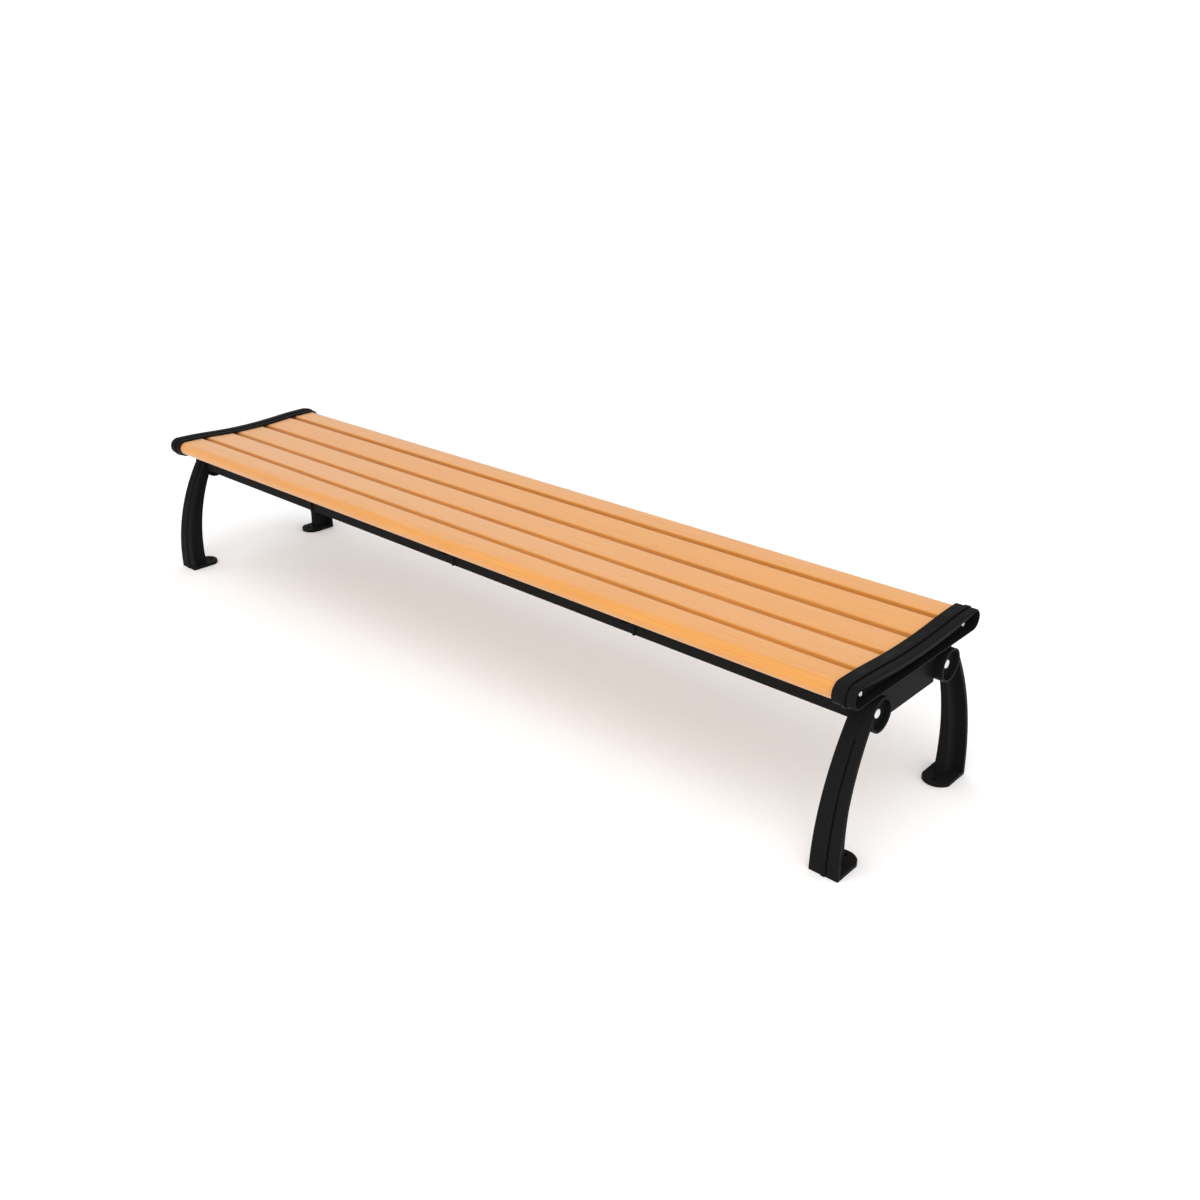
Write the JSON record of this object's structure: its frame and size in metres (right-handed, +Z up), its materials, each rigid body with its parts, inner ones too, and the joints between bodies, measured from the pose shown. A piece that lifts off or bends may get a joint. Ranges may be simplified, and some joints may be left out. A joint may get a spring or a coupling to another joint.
{
  "type": "backless bench",
  "caption": "Long backless park bench: cast metal end frames with splayed legs carry a gently hollowed plank seat over steel rails and cross straps.",
  "frame": {"origin": "on the ground under the middle of the seat", "axes": "+X along the bench, -Y its front, +Z up"},
  "size_m": [2.438, 0.542, 0.422],
  "materials": {
    "black_paint": "glossy black powder coat over casting",
    "plank": "cedar-coloured recycled plastic with a fine brushed grain",
    "black_steel": "glossy black powder coat",
    "stainless": "bright stainless"
  },
  "bodies": {
    "root": {"end_frame_right": "black_paint", "end_frame_left": "black_paint", "plank_front": "plank", "plank_front_mid": "plank", "plank_middle": "plank", "plank_rear_mid": "plank", "plank_rear": "plank", "rail_front": "black_steel", "rail_rear": "black_steel", "rail_discs_front": "black_steel", "rail_discs_rear": "black_steel", "strap_left": "black_steel", "strap_centre": "black_steel", "strap_right": "black_steel", "rail_bolts_left": "stainless", "rail_bolts_right": "stainless", "cap_bolts_left": "stainless", "cap_bolts_right": "stainless", "ledge_screws_left": "stainless", "ledge_screws_right": "stainless", "strap_screws_left": "stainless", "strap_screws_centre": "stainless", "strap_screws_right": "stainless", "saddle_screws_left": "stainless", "saddle_screws_centre": "stainless", "saddle_screws_right": "stainless"}
  },
  "joints": []
}
